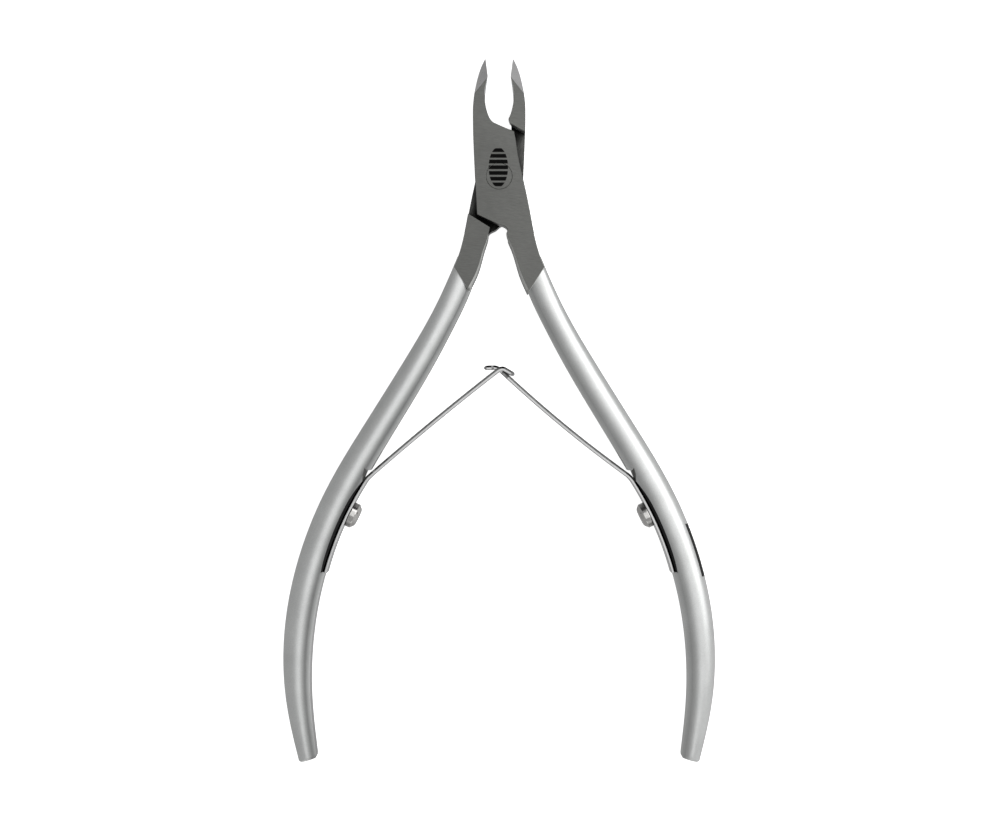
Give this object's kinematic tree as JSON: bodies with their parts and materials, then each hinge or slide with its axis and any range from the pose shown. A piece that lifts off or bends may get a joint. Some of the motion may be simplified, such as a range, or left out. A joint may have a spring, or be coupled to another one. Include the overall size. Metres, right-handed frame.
{
  "type": "cuticle nipper",
  "caption": "Lap-jointed steel cuticle nipper with short sharpened jaws, long curved handles and two interlocked leaf springs that hold it open.",
  "frame": {"origin": "on the pivot axis, at the back face of the lap joint, which the nipper lies on", "axes": "+Y along the nipper towards the jaws, +Z from the back face to the front face, +X to the right seen from the front"},
  "size_m": [0.0742, 0.1207, 0.006],
  "materials": {
    "lever_steel": "satin blasted handles, flat-ground joint and jaws",
    "rivet_steel": "ground flush",
    "spring_steel": "polished strip",
    "screw_steel": "polished"
  },
  "bodies": {
    "front_lever": {"front_lever": "lever_steel", "pivot_rivet": "rivet_steel", "right_spring_base": "spring_steel", "right_spring_screw": "screw_steel"},
    "rear_lever": {"rear_lever": "lever_steel", "left_spring_base": "spring_steel", "left_spring_screw": "screw_steel"},
    "right_spring_arm": {"right_spring_arm": "spring_steel"},
    "left_spring_arm": {"left_spring_arm": "spring_steel"}
  },
  "joints": [
    {"name": "pivot", "type": "hinge", "parent": "front_lever", "child": "rear_lever", "pos_m": [0, 0, 0.003], "axis": [0, 0, 1], "range_deg": [0, 12.8], "stiffness_Nm_per_rad": 1.5},
    {"name": "right_spring_flex", "type": "hinge", "parent": "front_lever", "child": "right_spring_arm", "pos_m": [0.022, -0.05094, 0.003], "axis": [0, 0, 1], "range_deg": [-9.6, 0]},
    {"name": "left_spring_flex", "type": "hinge", "parent": "rear_lever", "child": "left_spring_arm", "pos_m": [-0.022, -0.05094, 0.003], "axis": [0, 0, 1], "range_deg": [0, 9.6]}
  ],
  "couplings": [
    {"joint": "right_spring_flex", "follows": "pivot", "ratio": -0.742},
    {"joint": "left_spring_flex", "follows": "pivot", "ratio": 0.742}
  ]
}
